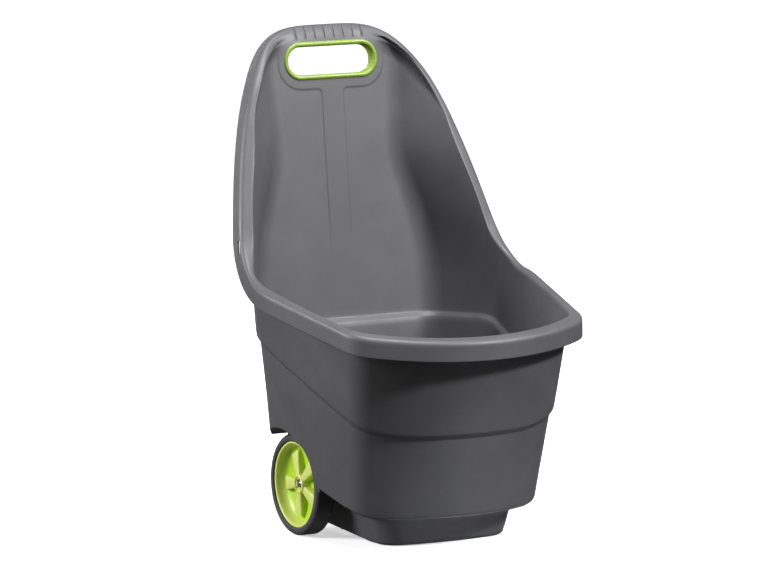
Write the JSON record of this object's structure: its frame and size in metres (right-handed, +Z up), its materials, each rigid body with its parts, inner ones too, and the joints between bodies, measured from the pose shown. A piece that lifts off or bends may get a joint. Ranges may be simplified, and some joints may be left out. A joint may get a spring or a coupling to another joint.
{
  "type": "garden cart",
  "caption": "Two-wheeled garden cart: moulded dark grey tub with plinth foot, high arched back with a ringed hand opening, and green spoked wheels with black tyres.",
  "frame": {"origin": "on the ground, centre of the bounding box's base", "axes": "+Z up, handle end at +Y, bowed front at -Y, X across the cart along the axle"},
  "size_m": [0.515, 0.5605, 0.8301],
  "materials": {
    "tub_plastic": "fine matt moulded grain",
    "green_plastic": "satin",
    "tyre_black": "matt",
    "axle_steel": "zinc plated",
    "washer_steel": "zinc plated",
    "cap_steel": "bright plated"
  },
  "bodies": {
    "cart": {"tub": "tub_plastic", "grip_ring": "green_plastic"},
    "axle_set": {"axle": "axle_steel", "push_cap_left": "cap_steel", "push_cap_right": "cap_steel", "outer_washer_left": "washer_steel", "outer_washer_right": "washer_steel", "inner_washer_left": "washer_steel", "inner_washer_right": "washer_steel"},
    "wheel_left": {"wheel_disc_left": "green_plastic", "tyre_left": "tyre_black"},
    "wheel_right": {"wheel_disc_right": "green_plastic", "tyre_right": "tyre_black"}
  },
  "joints": [
    {"name": "axle_spin", "type": "hinge", "parent": "cart", "child": "axle_set", "pos_m": [0, 0.074, 0.085], "axis": [1, 0, 0], "continuous": true},
    {"name": "wheel_left_spin", "type": "hinge", "parent": "axle_set", "child": "wheel_left", "pos_m": [0.165, 0.074, 0.085], "axis": [1, 0, 0], "continuous": true},
    {"name": "wheel_right_spin", "type": "hinge", "parent": "axle_set", "child": "wheel_right", "pos_m": [-0.165, 0.074, 0.085], "axis": [1, 0, 0], "continuous": true}
  ]
}
